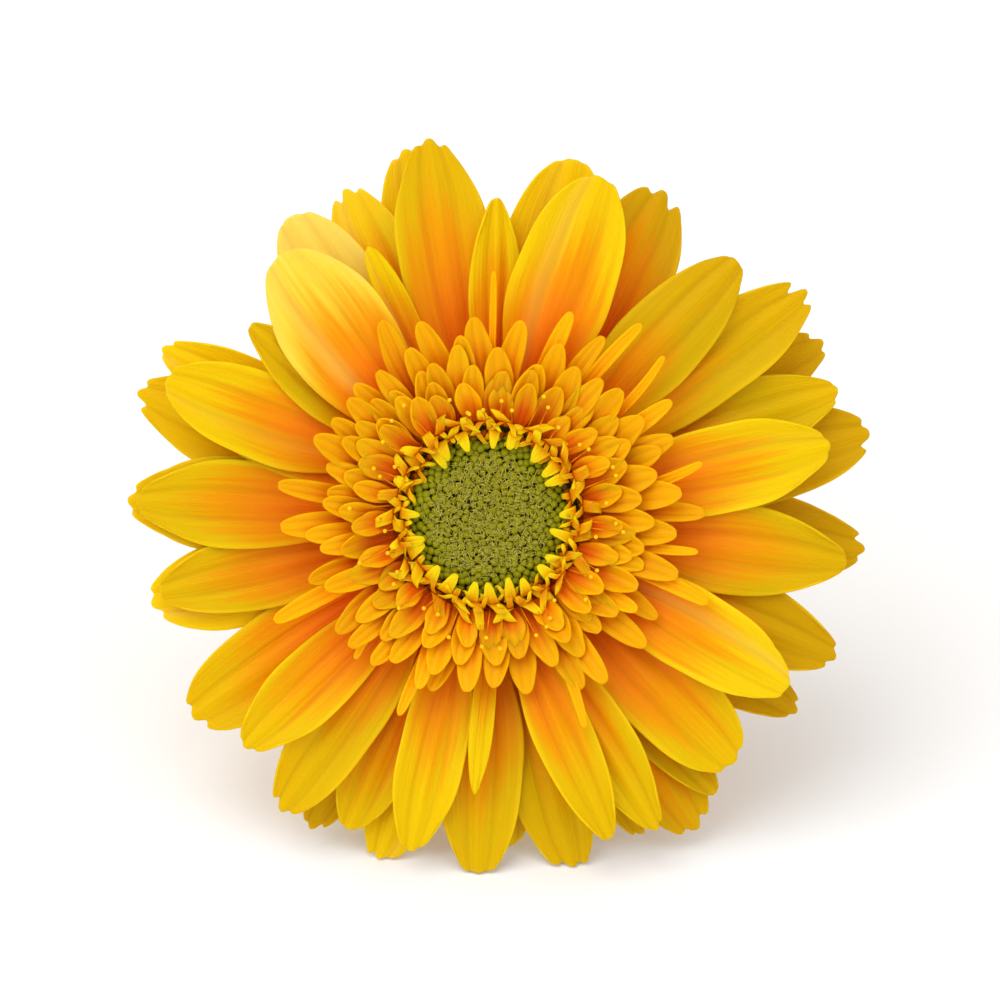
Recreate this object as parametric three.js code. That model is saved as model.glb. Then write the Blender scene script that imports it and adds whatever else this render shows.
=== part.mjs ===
// Cut gerbera: a daisy-like head on a short bowed cut stem, lying on a surface.
// Millimetres, +Z up. The head is built face up round its own +Z axis, then tipped to face -Y.
import * as THREE from 'three';

// ---- driving dimensions -------------------------------------------------------------
const HEAD_RADIUS = 50;        // disc centre to the tip of an average long ray
const RAY_WIDTH = 1.0;         // factor on every ray's own width
const CLAW_RADIUS = 12.2;      // where the rays leave the receptacle
const RAY_THICK = 0.5;
const RAY_FLOOR = -1.5;        // height of the lowest ray's claw
const CUP = 5.0;               // how far the rays rise from claw to tip
const RECURVE = 1.6;           // how far the tips bend back
const LAYER_BASE = 0.9;        // spacing of overlapping rays at the claws
const LAYER_TIP = 1.5;         // and at the rim
const TOP_LAYER = 6.8;
const INNER_STEP = 0.95;       // spacing of the inner short rows above the rays
const INNER_THICK = 0.5;
const CORE_GAP = 0.4;          // between the receptacle's side and the claws
const DISC_GAP = 0.3;          // under the disc, and round it
const DISC_TOP = 9.9;
const RECEPTACLE_TOP = 5.2;
const RECEPTACLE_DEPTH = 14.5; // from the rays' level down to the stem
const BRACT_THICK = 0.6;
const HEAD_TILT = 30;          // degrees the face looks up from level
const STEM_TOP_RADIUS = 2.5;
const STEM_END_RADIUS = 3.2;
const NECK_LENGTH = 10;        // straight stretch behind the head
const NECK_FLARE = 0.6;        // widening where it meets the receptacle
const LYING_LENGTH = 30;       // stretch of stem flat on the surface
const STEM_GAP = 0.3;
const BORE_RADIUS = 1.1;       // hollow seen at the cut
const BORE_DEPTH = 6;
const PRESS = 1.0;             // how far the lowest tips are bent by the surface

const DEG = Math.PI / 180;
const REACH = HEAD_RADIUS / 50;
const CORE = CLAW_RADIUS / 12.2;             // radial size of everything the rays stand round
const DEEP = RECEPTACLE_DEPTH / 14.5;        // and its depth behind them
const DISC_RADIUS = CLAW_RADIUS - CORE_GAP - 1.0;
const clamp01 = (t) => Math.min(1, Math.max(0, t));
const smooth = (a, b, t) => { const k = clamp01((t - a) / (b - a)); return k * k * (3 - 2 * k); };
const mix = (a, b, t) => a + (b - a) * t;

// ---- the rays -------------------------------------------------------------------------
// name, direction of claw and of tip (degrees, 0 = +X, counter-clockwise seen from the front),
// reach, width, layer (0 = hindmost), channel (mm the edges stand above the midrib),
// blunt (0 pointed to 1 square), tip (mm the end is bent forward)
const RAYS = [
  ['ray_01', 11.5, 11.7, 46.8, 12.1, 5.0, 0.9, 0.35, 0.0],
  ['ray_02', 24.0, 19.8, 50.2, 11.4, 2.2, 0.5, 0.30, 0.0],
  ['ray_03', 30.0, 35.2, 52.5, 11.3, 3.2, 0.8, 0.70, 0.4],
  ['ray_04', 42.0, 45.7, 47.9, 11.6, 4.5, -0.5, 0.45, 0.0],
  ['ray_05', 58.0, 61.5, 50.0, 13.4, 1.0, 0.6, 0.80, 0.0],
  ['ray_06', 76.0, 71.5, 47.9, 14.0, 5.4, 0.7, 0.55, 0.0],
  ['ray_07', 79.0, 76.5, 49.6, 13.4, 2.0, 0.3, 0.75, 0.0],
  ['ray_08', 86.2, 88.4, 42.8, 7.2, 4.0, 0.45, 0.15, 0.0],
  ['ray_09', 100.0, 99.0, 51.4, 12.9, 3.0, 0.4, 0.45, 0.0],
  ['ray_10', 103.0, 102.6, 51.0, 12.2, 0.0, -0.3, 0.55, 0.0],
  ['ray_11', 111.0, 114.0, 39.6, 4.4, 4.0, -0.2, 0.60, 0.3],
  ['ray_12', 111.0, 113.5, 48.3, 10.8, 1.0, 0.5, 0.65, 0.0],
  ['ray_13', 123.0, 123.5, 48.5, 12.5, 2.0, -0.5, 0.70, 0.0],
  ['ray_14', 132.0, 128.6, 44.5, 13.8, 6.8, -1.0, 0.85, -1.6],
  ['ray_15', 143.0, 141.3, 40.9, 8.2, 4.9, 0.4, 0.10, 0.0],
  ['ray_16', 149.0, 157.2, 47.0, 12.0, 4.1, 0.5, 0.55, 0.0],
  ['ray_17', 163.0, 160.5, 50.4, 12.6, 0.0, 0.3, 0.45, 0.0],
  ['ray_18', 154.0, 152.6, 49.6, 9.4, 1.4, 0.4, 0.40, 0.4],
  ['ray_19', 163.0, 162.7, 37.8, 6.2, 3.3, -0.3, 0.25, 0.0],
  ['ray_20', 177.0, 177.5, 47.5, 12.0, 2.4, 0.5, 0.40, 0.0],
  ['ray_21', 178.0, 177.6, 48.8, 12.9, 0.8, 0.3, 0.50, 0.0],
  ['ray_22', 193.0, 193.0, 45.6, 10.6, 1.6, 0.5, 0.45, 0.0],
  ['ray_23', 195.0, 194.6, 47.2, 12.6, 0.0, -0.3, 0.65, 0.0],
  ['ray_24', 212.0, 214.2, 48.5, 12.6, 0.8, 0.4, 0.80, 0.0],
  ['ray_25', 223.0, 223.6, 45.0, 9.8, 5.0, 1.1, 0.50, 0.0],
  ['ray_26', 234.5, 234.8, 48.5, 10.2, 3.7, 0.9, 0.65, 0.0],
  ['ray_27', 240.0, 240.5, 48.8, 9.6, 0.0, 0.3, 0.50, 0.0],
  ['ray_28', 242.0, 246.0, 46.4, 10.6, 2.0, 0.5, 0.45, 0.0],
  ['ray_29', 254.0, 257.0, 46.1, 9.2, 4.5, 1.0, 0.45, 0.0],
  ['ray_30', 253.5, 252.6, 49.6, 10.4, 1.0, 0.3, 0.50, 0.0],
  ['ray_31', 270.0, 268.3, 49.0, 11.6, 3.0, 0.4, 0.40, 0.0],
  ['ray_32', 273.1, 267.3, 37.2, 3.3, 5.8, -0.3, 0.25, 0.45],
  ['ray_33', 275.5, 274.0, 44.8, 9.2, 0.5, 0.2, 0.40, 0.0],
  ['ray_34', 283.0, 283.4, 49.7, 11.2, 2.0, 0.4, 0.60, 0.0],
  ['ray_35', 281.0, 290.8, 46.2, 8.0, 6.0, 0.8, 0.30, 0.0],
  ['ray_36', 289.0, 298.3, 47.8, 8.6, 4.8, 0.7, 0.30, 0.0],
  ['ray_37', 293.0, 295.8, 48.0, 8.6, 0.0, 0.3, 0.40, 0.0],
  ['ray_38', 303.0, 303.6, 51.0, 12.2, 1.0, 0.4, 0.75, 0.0],
  ['ray_39', 309.0, 309.2, 48.5, 8.8, 2.2, 0.5, 0.25, 0.0],
  ['ray_40', 315.0, 314.8, 46.9, 12.6, 3.8, 0.9, 0.80, 0.0],
  ['ray_41', 331.0, 330.3, 46.2, 11.4, 6.0, 0.4, 0.50, 0.0],
  ['ray_42', 328.0, 327.6, 49.5, 10.0, 1.0, 0.3, 0.45, 0.0],
  ['ray_43', 339.5, 338.0, 50.6, 11.6, 3.0, 0.4, 0.50, 0.0],
  ['ray_44', 349.5, 352.6, 48.6, 12.3, 4.2, 0.5, 0.30, 0.0],
  ['ray_45', 356.5, 355.0, 51.3, 12.6, 0.0, 0.3, 0.50, 0.0],
  ['ray_46', 12.0, 12.3, 52.9, 13.2, 1.1, 0.3, 0.65, 0.0],
  ['ray_47', 27.0, 27.5, 51.2, 10.8, 0.0, 0.3, 0.55, 0.0],
];

// Height of the dish the rays lie on, and of one layer in it.
function dishHeight(radius, layer) {
  const out = radius - CLAW_RADIUS;
  const rim = clamp01(out / (HEAD_RADIUS - CLAW_RADIUS));
  return RAY_FLOOR + CUP * (1 - Math.exp(-out / 14))
    - RECURVE * smooth(0.68 * HEAD_RADIUS, 1.06 * HEAD_RADIUS, radius)
    + layer * mix(LAYER_BASE, LAYER_TIP, rim);
}

// A point of a ray's middle surface: along 0..1 from claw to tip, across -1..1.
function rayPoint([, from, to, reach, width, layer, channel, blunt, tip], along, across) {
  const claw = new THREE.Vector2(Math.cos(from * DEG), Math.sin(from * DEG)).multiplyScalar(CLAW_RADIUS);
  const end = new THREE.Vector2(Math.cos(to * DEG), Math.sin(to * DEG)).multiplyScalar(reach * REACH);
  const run = end.clone().sub(claw);
  const side = new THREE.Vector2(-run.y, run.x).normalize();
  const rounded = 1 - mix(0.17, 0.06, blunt) * Math.pow(Math.abs(across), 2.2);
  const shape = along < 0.62
    ? mix(0.17, 1, Math.pow(Math.sin((Math.PI / 2) * (along / 0.62)), 1.4))
    : 1 - mix(0.70, 0.36, blunt) * Math.pow((along - 0.62) / 0.38, 2.2);
  const half = 0.5 * width * REACH * RAY_WIDTH * shape;
  const spot = claw.clone().addScaledVector(run, along * rounded).addScaledVector(side, across * half);
  const free = smooth(0.3, 0.7, along);
  return new THREE.Vector3(spot.x, spot.y,
    dishHeight(spot.length(), layer) + channel * free * (across * across - 0.3)
    + tip * smooth(0.62, 1, along));
}

// ---- closed solids from a sheet ------------------------------------------------------------
// point(i, j) gives the sheet's middle surface; the solid is that sheet with a thickness.
function sheetSolid(rows, columns, point, thickness, ring = false) {
  const across = ring ? columns : columns + 1;
  const at = (i, j) => point(Math.min(rows, Math.max(0, i)), ring ? (j + columns) % columns : Math.min(columns, Math.max(0, j)));
  const upper = [];
  const lower = [];
  for (let i = 0; i <= rows; i += 1) {
    for (let j = 0; j < across; j += 1) {
      const along = at(i + 1, j).sub(at(i - 1, j));
      const sideways = at(i, j + 1).sub(at(i, j - 1));
      const normal = along.cross(sideways).normalize().multiplyScalar(thickness / 2);
      upper.push(at(i, j).add(normal));
      lower.push(at(i, j).sub(normal));
    }
  }
  const vertices = [...upper, ...lower];
  const count = upper.length;
  const faces = [];
  const quad = (a, b, c, d) => faces.push(a, b, c, a, c, d);
  const id = (i, j) => i * across + (ring ? (j + columns) % columns : j);
  for (let i = 0; i < rows; i += 1) {
    for (let j = 0; j < columns; j += 1) {
      const [a, b, c, d] = [id(i, j), id(i + 1, j), id(i + 1, j + 1), id(i, j + 1)];
      quad(a, b, c, d);
      quad(count + a, count + d, count + c, count + b);
    }
  }
  for (let j = 0; j < columns; j += 1) {
    const [a, b] = [id(0, j), id(0, j + 1)];
    quad(a, b, count + b, count + a);
    const [c, d] = [id(rows, j), id(rows, j + 1)];
    quad(c, count + c, count + d, d);
  }
  if (!ring) {
    for (let i = 0; i < rows; i += 1) {
      const [a, b] = [id(i, 0), id(i + 1, 0)];
      quad(a, count + a, count + b, b);
      const [c, d] = [id(i, columns), id(i + 1, columns)];
      quad(c, d, count + d, count + c);
    }
  }
  const geometry = new THREE.BufferGeometry();
  geometry.setAttribute('position', new THREE.Float32BufferAttribute(vertices.flatMap((p) => p.toArray()), 3));
  geometry.setIndex(faces);
  return geometry;
}

// A ring of joined lobes round the head's axis: profile(t) is its section from root to tip,
// stretch(k) each lobe's own length, notch the part of the length left between two lobes.
function crownGeometry(lobes, profile, notch, thickness, stretch = () => 1, rows = 3) {
  const outline = [0, 0.72, 1, 0.72];
  return sheetSolid(rows, lobes * 4, (i, j) => {
    const lobe = Math.floor(j / 4);
    const length = j % 4 === 0 ? notch : mix(notch, stretch(lobe), outline[j % 4]);
    const { x: radius, y: height } = profile((i / rows) * length);
    const angle = ((j + 0.5) / (lobes * 4)) * 2 * Math.PI;
    return new THREE.Vector3(radius * Math.cos(angle), radius * Math.sin(angle), height);
  }, thickness, true);
}

const node = (name, geometry, color, roughness) => {
  geometry.computeVertexNormals();
  const mesh = new THREE.Mesh(geometry, new THREE.MeshStandardMaterial({ color, roughness, metalness: 0 }));
  mesh.name = name;
  return mesh;
};

// ---- the head, face up ---------------------------------------------------------------------
const head = new THREE.Group();
head.rotation.x = (90 - HEAD_TILT) * DEG;

RAYS.forEach((ray, index) => {
  const slim = ray[4] < 5;
  const columns = slim ? 2 : 4;
  const tone = new THREE.Color('#f2a200').lerp(new THREE.Color('#ffc21a'), (index % 5) / 4);
  head.add(node(ray[0], sheetSolid(6, columns, (i, j) => rayPoint(ray, i / 6, (2 * j) / columns - 1),
    slim ? 0.8 * RAY_THICK : RAY_THICK), tone, 0.55));
});

// The short inner rows stand on the rays, each one step above the row outside it.
const innerHeight = (radius, step) => dishHeight(radius, TOP_LAYER) + step * INNER_STEP;
const innerProfile = (from, to, step, lift) => (t) => {
  const radius = mix(from, to, t);
  return new THREE.Vector2(radius, innerHeight(radius, step) + lift * t * t);
};
const sway = (seed, amount) => (k) => 1 - amount * (0.5 + 0.5 * Math.sin(k * 2.4 + seed) * Math.cos(k * 1.3 + seed));
const innerRoot = CLAW_RADIUS + 0.5;
[
  ['inner_row_outer', 26, 28.5, 1, 0.22, '#f3a21a', 0.2],
  ['inner_row_third', 25, 24.0, 2, 0.2, '#f39a12', 0.3],
  ['inner_row_second', 23, 20.3, 3, 0.16, '#f08e10', 0.4],
  ['inner_row_inner', 21, 17.2, 4, 0.14, '#e8860c', 0.5],
].forEach(([name, lobes, reach, step, uneven, colour, lift], row) => {
  const profile = innerProfile(innerRoot, reach * REACH, step, lift);
  head.add(node(name, crownGeometry(lobes, profile, 0.18, INNER_THICK, sway(row, uneven), 2), colour, 0.55));
});

// Opened florets round the disc, their lips curled outward.
const lipFoot = new THREE.Vector2(DISC_RADIUS + DISC_GAP + 0.45, RECEPTACLE_TOP - 0.2);
head.add(node('open_florets', crownGeometry(24, (t) => {
  const turn = clamp01((t - 0.45) / 0.55);
  const top = innerHeight(innerRoot, 4) + 1.6;
  return new THREE.Vector2(lipFoot.x + 2.6 * turn * turn, mix(lipFoot.y, top, clamp01(t / 0.6)) + 0.7 * Math.sin(Math.PI * turn));
}, 0.5, 0.5, sway(3, 0.12), 3), '#e8b400', 0.5));

// The disc of unopened buds: a low dome with a knobbly top.
function discGeometry() {
  const rings = 9;
  const sectors = 32;
  const points = [];
  const push = (radius, angle, height) => points.push(radius * Math.cos(angle), radius * Math.sin(angle), height);
  const faces = [];
  for (let i = 0; i <= rings; i += 1) {
    const radius = DISC_RADIUS * ((i + 0.35) / (rings + 0.35));
    const fall = 1.5 * Math.pow(radius / DISC_RADIUS, 5);
    for (let j = 0; j < sectors; j += 1) {
      const knob = i > 1 && i < rings ? 0.42 * ((i + j) % 2) : 0.2;
      push(radius, ((j + 0.5 * (i % 2)) / sectors) * 2 * Math.PI, DISC_TOP - 0.5 + knob - fall);
    }
  }
  for (let j = 0; j < sectors; j += 1) push(DISC_RADIUS, ((j + 0.5 * (rings % 2)) / sectors) * 2 * Math.PI, RECEPTACLE_TOP + DISC_GAP);
  push(0, 0, DISC_TOP - 0.2);
  push(0, 0, RECEPTACLE_TOP + DISC_GAP + 0.2);
  const crown = points.length / 3 - 2;
  for (let i = 0; i <= rings; i += 1) {
    for (let j = 0; j < sectors; j += 1) {
      const k = (j + 1) % sectors;
      const [a, b] = [i * sectors + j, i * sectors + k];
      faces.push(a, a + sectors, b + sectors, a, b + sectors, b);
    }
  }
  for (let j = 0; j < sectors; j += 1) {
    const k = (j + 1) % sectors;
    faces.push(crown, j, k);
    faces.push(crown + 1, (rings + 1) * sectors + k, (rings + 1) * sectors + j);
  }
  const geometry = new THREE.BufferGeometry();
  geometry.setAttribute('position', new THREE.Float32BufferAttribute(points, 3));
  geometry.setIndex(faces);
  return geometry;
}
head.add(node('disc_buds', discGeometry(), '#7d8012', 0.8));

// The receptacle: the solid heart everything is set on, from the stem up to the disc.
const coreWall = (CLAW_RADIUS - CORE_GAP) / CORE - 0.4;
const receptacle = new THREE.LatheGeometry([
  [0, -14.5], [3.4, -14.5], [6.3, -13.2], [8.3, -10.0], [10.4, -5.4], [coreWall, -2.8],
].map(([radius, height]) => new THREE.Vector2(radius * CORE, height * DEEP)).concat([
  [coreWall, RECEPTACLE_TOP - 1.6], [9.5, RECEPTACLE_TOP - 0.6], [5, RECEPTACLE_TOP - 0.1], [0, RECEPTACLE_TOP],
].map(([radius, height]) => new THREE.Vector2(radius * CORE, height))), 28);
receptacle.rotateX(Math.PI / 2);
head.add(node('receptacle', receptacle, '#7f9a3a', 0.7));

// Three overlapping rows of green bracts behind the rays.
const bend = (stations) => (t) => {
  const k = clamp01(t) * (stations.length - 1);
  const i = Math.min(stations.length - 2, Math.floor(k));
  const [a, b] = [stations[i], stations[i + 1]];
  return new THREE.Vector2(mix(a[0], b[0], k - i) * CORE, mix(a[1], b[1], k - i) * DEEP);
};
[
  ['bracts_inner', 17, [[9.6, -9.0], [12.5, -5.2], [15.9, -3.0], [19.2, -1.9]], '#6f8f2e'],
  ['bracts_middle', 16, [[9.7, -11.0], [13.1, -7.3], [16.2, -5.0], [18.0, -4.1]], '#5f8228'],
  ['bracts_outer', 14, [[6.7, -14.5], [9.9, -12.4], [12.9, -9.6], [15.9, -7.1]], '#557722'],
].forEach(([name, lobes, stations, colour], row) => {
  head.add(node(name, crownGeometry(lobes, bend(stations), 0.42, BRACT_THICK, sway(row + 5, 0.12), 3), colour, 0.75));
});

// ---- bend what would pass through the surface, then place the head on it --------------------
head.updateMatrixWorld(true);
const lowest = (mesh) => new THREE.Box3().setFromObject(mesh, true).min.z;
const headHeight = -Math.min(...head.children.map(lowest)) - PRESS;
const toWorld = (p) => p.applyMatrix4(head.matrixWorld);
const toHead = head.matrixWorld.clone().invert();
head.children.forEach((mesh) => {
  const positions = mesh.geometry.getAttribute('position');
  for (let i = 0; i < positions.count; i += 1) {
    const p = toWorld(new THREE.Vector3().fromBufferAttribute(positions, i));
    const over = p.z + headHeight;
    if (over < PRESS) {
      // the last millimetre or two eases on to the surface instead of passing it
      p.z = PRESS * Math.exp((over - PRESS) / PRESS) - headHeight;
      p.applyMatrix4(toHead);
      positions.setXYZ(i, p.x, p.y, p.z);
    }
  }
  mesh.geometry.computeVertexNormals();
});

const flower = new THREE.Group();
flower.name = 'cut_gerbera';
flower.add(head);

// ---- the stem: straight neck, one bow, then flat on the surface -----------------------------
const tilt = HEAD_TILT * DEG;
const back = new THREE.Vector2(Math.cos(tilt), -Math.sin(tilt));          // (Y, Z) away from the face
const neckStart = back.clone().multiplyScalar(RECEPTACLE_DEPTH + STEM_GAP).add(new THREE.Vector2(0, headHeight));
const bowStart = neckStart.clone().addScaledVector(back, NECK_LENGTH);
const bowRadius = (bowStart.y - STEM_END_RADIUS) / (1 - Math.cos(tilt));
const bowLength = bowRadius * tilt;
const stemLength = NECK_LENGTH + bowLength + LYING_LENGTH;
function stemPoint(distance) {
  if (distance <= NECK_LENGTH) return { at: neckStart.clone().addScaledVector(back, distance), angle: -tilt };
  const bowed = Math.min(bowLength, distance - NECK_LENGTH);
  const angle = -tilt + bowed / bowRadius;
  const at = new THREE.Vector2(
    bowStart.x + bowRadius * (Math.sin(angle) + Math.sin(tilt)),
    bowStart.y - bowRadius * (Math.cos(angle) - Math.cos(tilt)),
  );
  at.x += Math.max(0, distance - NECK_LENGTH - bowLength);
  return { at, angle };
}
function stemGeometry() {
  const sides = 14;
  const stations = [];
  const steps = 17;
  for (let i = 0; i <= steps; i += 1) {
    const distance = (stemLength * i) / steps;
    const swell = smooth(0, 0.75 * stemLength, distance);
    const collar = NECK_FLARE * (1 - smooth(0, NECK_LENGTH, distance));
    stations.push([distance, mix(STEM_TOP_RADIUS, STEM_END_RADIUS, swell) + collar]);
  }
  stations.push([stemLength, BORE_RADIUS], [stemLength - BORE_DEPTH, BORE_RADIUS]);
  const points = [];
  stations.forEach(([distance, radius]) => {
    const { at, angle } = stemPoint(distance);
    for (let j = 0; j < sides; j += 1) {
      const round = ((j + 0.5) / sides) * 2 * Math.PI;
      const [x, up] = [radius * Math.sin(round), radius * Math.cos(round)];
      points.push(new THREE.Vector3(x, at.x - up * Math.sin(angle), at.y + up * Math.cos(angle)));
    }
  });
  const first = stemPoint(0).at;
  const last = stemPoint(stemLength - BORE_DEPTH).at;
  points.push(new THREE.Vector3(0, first.x, first.y), new THREE.Vector3(0, last.x, last.y));
  const faces = [];
  for (let i = 0; i < stations.length - 1; i += 1) {
    for (let j = 0; j < sides; j += 1) {
      const k = (j + 1) % sides;
      const [a, b] = [i * sides + j, i * sides + k];
      faces.push(a, b, b + sides, a, b + sides, a + sides);
    }
  }
  const end = (stations.length - 1) * sides;
  for (let j = 0; j < sides; j += 1) {
    const k = (j + 1) % sides;
    faces.push(points.length - 2, k, j);
    faces.push(points.length - 1, end + j, end + k);
  }
  const geometry = new THREE.BufferGeometry();
  geometry.setAttribute('position', new THREE.Float32BufferAttribute(points.flatMap((p) => p.toArray()), 3));
  geometry.setIndex(faces);
  return geometry;
}
flower.add(node('stem', stemGeometry(), '#7c9a3c', 0.65));

// ---- stand it on z = 0, centred over the origin ----------------------------------------------
head.position.z = headHeight;
flower.updateMatrixWorld(true);
const bounds = new THREE.Box3().setFromObject(flower, true);
const middle = bounds.getCenter(new THREE.Vector3());
flower.position.set(-middle.x, -middle.y, -bounds.min.z);

export default flower;
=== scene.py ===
import math
import random

import bmesh
import bpy
from mathutils import Matrix, Vector


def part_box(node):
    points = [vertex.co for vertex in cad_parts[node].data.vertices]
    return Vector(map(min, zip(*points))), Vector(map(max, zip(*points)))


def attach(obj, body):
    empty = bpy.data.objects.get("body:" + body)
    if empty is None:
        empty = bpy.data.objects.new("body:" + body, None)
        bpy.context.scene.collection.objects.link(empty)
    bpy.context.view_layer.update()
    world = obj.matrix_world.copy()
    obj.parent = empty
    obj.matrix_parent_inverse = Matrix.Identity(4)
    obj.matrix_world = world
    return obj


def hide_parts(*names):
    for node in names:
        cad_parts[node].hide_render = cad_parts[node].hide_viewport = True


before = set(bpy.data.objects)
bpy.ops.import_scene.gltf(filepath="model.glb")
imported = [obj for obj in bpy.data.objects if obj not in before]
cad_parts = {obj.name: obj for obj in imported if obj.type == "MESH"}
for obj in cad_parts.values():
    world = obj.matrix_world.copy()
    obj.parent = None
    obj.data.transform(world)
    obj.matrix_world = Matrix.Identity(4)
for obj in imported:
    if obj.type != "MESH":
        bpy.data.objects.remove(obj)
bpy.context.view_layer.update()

MM = 0.001
TILT = math.radians(30)
RIGHT = Vector((1, 0, 0))
UP = Vector((0, math.sin(TILT), math.cos(TILT)))
FACE = Vector((0, -math.cos(TILT), math.sin(TILT)))
core_low, core_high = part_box("receptacle")
CORE_TO_HEART = Vector((0, -2.88192, 0.25766))   # from the middle of the receptacle's box to the head's zero
HEART = (core_low + core_high) / 2 + CORE_TO_HEART * MM

# ---- sizes shared with the part ------------------------------------------------------------------
HEAD_RADIUS = 50.0
CLAW_RADIUS = 12.2       # where the rays leave the receptacle
RAY_FLOOR = -1.5         # height of the lowest layer at the claws
CUP = 5.0                # how far the rays rise from claw to tip
CUP_REACH = 14.0         # over what distance most of that rise happens
RECURVE = 1.6            # how far their tips bend back
LAYER_BASE = 0.9         # spacing of overlapping rays at the claws
LAYER_TIP = 1.5          # and at the rim
TOP_LAYER = 6.8
INNER_STEP = 0.95        # spacing of the rows of short florets above the rays
FLORET_ROOT = CLAW_RADIUS + 0.5
DISC_RADIUS = 10.8
DISC_TOP = 9.9
DISC_FALL = 1.5          # how much lower the disc's rim is
PRESS = 1.2              # height under which a tip is bent by the surface
REST = 0.3               # and the height it comes to


def mix(a, b, t):
    return a + (b - a) * t


def clamp(t):
    return min(1.0, max(0.0, t))


def smooth(low, high, t):
    k = clamp((t - low) / (high - low))
    return k * k * (3 - 2 * k)


def bump_at(t, centre, width):
    return math.exp(-(((t - centre) / width) ** 2))


def polar(direction, radius, height=0.0):
    angle = math.radians(direction)
    return Vector((radius * math.cos(angle), radius * math.sin(angle), height))


def place(point):
    """A head point in the row frame, eased on to the surface where it would pass it."""
    spot = HEART + (RIGHT * point.x + UP * point.y + FACE * point.z) * MM
    low = spot.z / MM
    if low < PRESS:
        spot.z = (REST + (PRESS - REST) * math.exp((low - PRESS) / (PRESS - REST))) * MM
    return spot


# ---- finishes --------------------------------------------------------------------------------------
class Signal:
    """One output of a finish's nodes. Arithmetic on it adds Math nodes."""

    def __init__(self, finish, socket):
        self.finish = finish
        self.socket = socket

    def worked(self, operation, *values):
        return self.finish.node("ShaderNodeMath", {"operation": operation}, dict(enumerate(values)))

    def __add__(self, other):
        return self.worked("ADD", self, other)

    def __radd__(self, other):
        return self.worked("ADD", other, self)

    def __sub__(self, other):
        return self.worked("SUBTRACT", self, other)

    def __rsub__(self, other):
        return self.worked("SUBTRACT", other, self)

    def __mul__(self, other):
        return self.worked("MULTIPLY", self, other)

    def __rmul__(self, other):
        return self.worked("MULTIPLY", other, self)

    def __pow__(self, other):
        return self.worked("POWER", self, other)

    def __abs__(self):
        return self.worked("ABSOLUTE", self)

    def step(self, low, high):
        """Rises smoothly from 0 at low to 1 at high."""
        return self.finish.node(
            "ShaderNodeMapRange",
            {"interpolation_type": "SMOOTHSTEP"},
            {"Value": self, "From Min": low, "From Max": high},
        )


class Finish:
    """A procedural material being put together."""

    def __init__(self, name):
        self.material = bpy.data.materials.new(name)
        self.material.use_nodes = True
        self.tree = self.material.node_tree
        self.tree.nodes.clear()

    def node(self, kind, settings=None, inputs=None, output=0):
        made = self.tree.nodes.new(kind)
        for name, value in (settings or {}).items():
            setattr(made, name, value)
        for name, value in (inputs or {}).items():
            if isinstance(value, Signal):
                self.tree.links.new(value.socket, made.inputs[name])
            else:
                made.inputs[name].default_value = value
        return Signal(self, made.outputs[output])

    def attribute(self, name):
        return self.node("ShaderNodeAttribute", {"attribute_name": name}, output="Fac")

    def parts(self, vector):
        first = self.node("ShaderNodeSeparateXYZ", inputs={0: vector})
        return [Signal(self, output) for output in first.socket.node.outputs]

    def uv(self):
        """How far along the sheet and how far across it, each 0 to 1."""
        return self.parts(self.node("ShaderNodeUVMap", {"uv_map": "UVMap"}))[:2]

    def vector(self, x, y, z):
        return self.node("ShaderNodeCombineXYZ", inputs={0: x, 1: y, 2: z})

    def place(self):
        return self.node("ShaderNodeTexCoord", output="Object")

    def noise(self, vector, scale, detail=2.0):
        return self.node("ShaderNodeTexNoise", inputs={"Vector": vector, "Scale": scale, "Detail": detail})

    def blend(self, factor, first, second):
        return self.node("ShaderNodeMix", {"data_type": "RGBA"}, {0: factor, 6: first, 7: second}, output=2)

    def scaled(self, colour, factor):
        return self.node("ShaderNodeVectorMath", {"operation": "SCALE"}, {0: colour, "Scale": factor})

    def relief(self, height, depth):
        return self.node("ShaderNodeBump", inputs={"Height": height, "Strength": 1.0, "Distance": depth})

    def done(self, inputs):
        shader = self.node("ShaderNodeBsdfPrincipled", inputs=inputs)
        self.tree.links.new(shader.socket, self.tree.nodes.new("ShaderNodeOutputMaterial").inputs["Surface"])
        return self.material


def tint(red, green, blue):
    """A screen colour, 0 to 255, as the renderer's own."""
    return tuple(
        c / 12.92 if c <= 0.04045 else ((c + 0.055) / 1.055) ** 2.4
        for c in (red / 255, green / 255, blue / 255)
    ) + (1.0,)


# light that scatters through a petal, and through green tissue
GLOW = {"Subsurface Weight": 0.35, "Subsurface Radius": (1.0, 0.34, 0.02), "Subsurface Scale": 0.0016}
GREEN_GLOW = {"Subsurface Weight": 0.08, "Subsurface Radius": (0.4, 0.8, 0.1), "Subsurface Scale": 0.001}
PETAL_GLOSS = 0.06
FOLD_PLACE = 0.34        # a sheet's two folds, from its midrib to its edge


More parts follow.
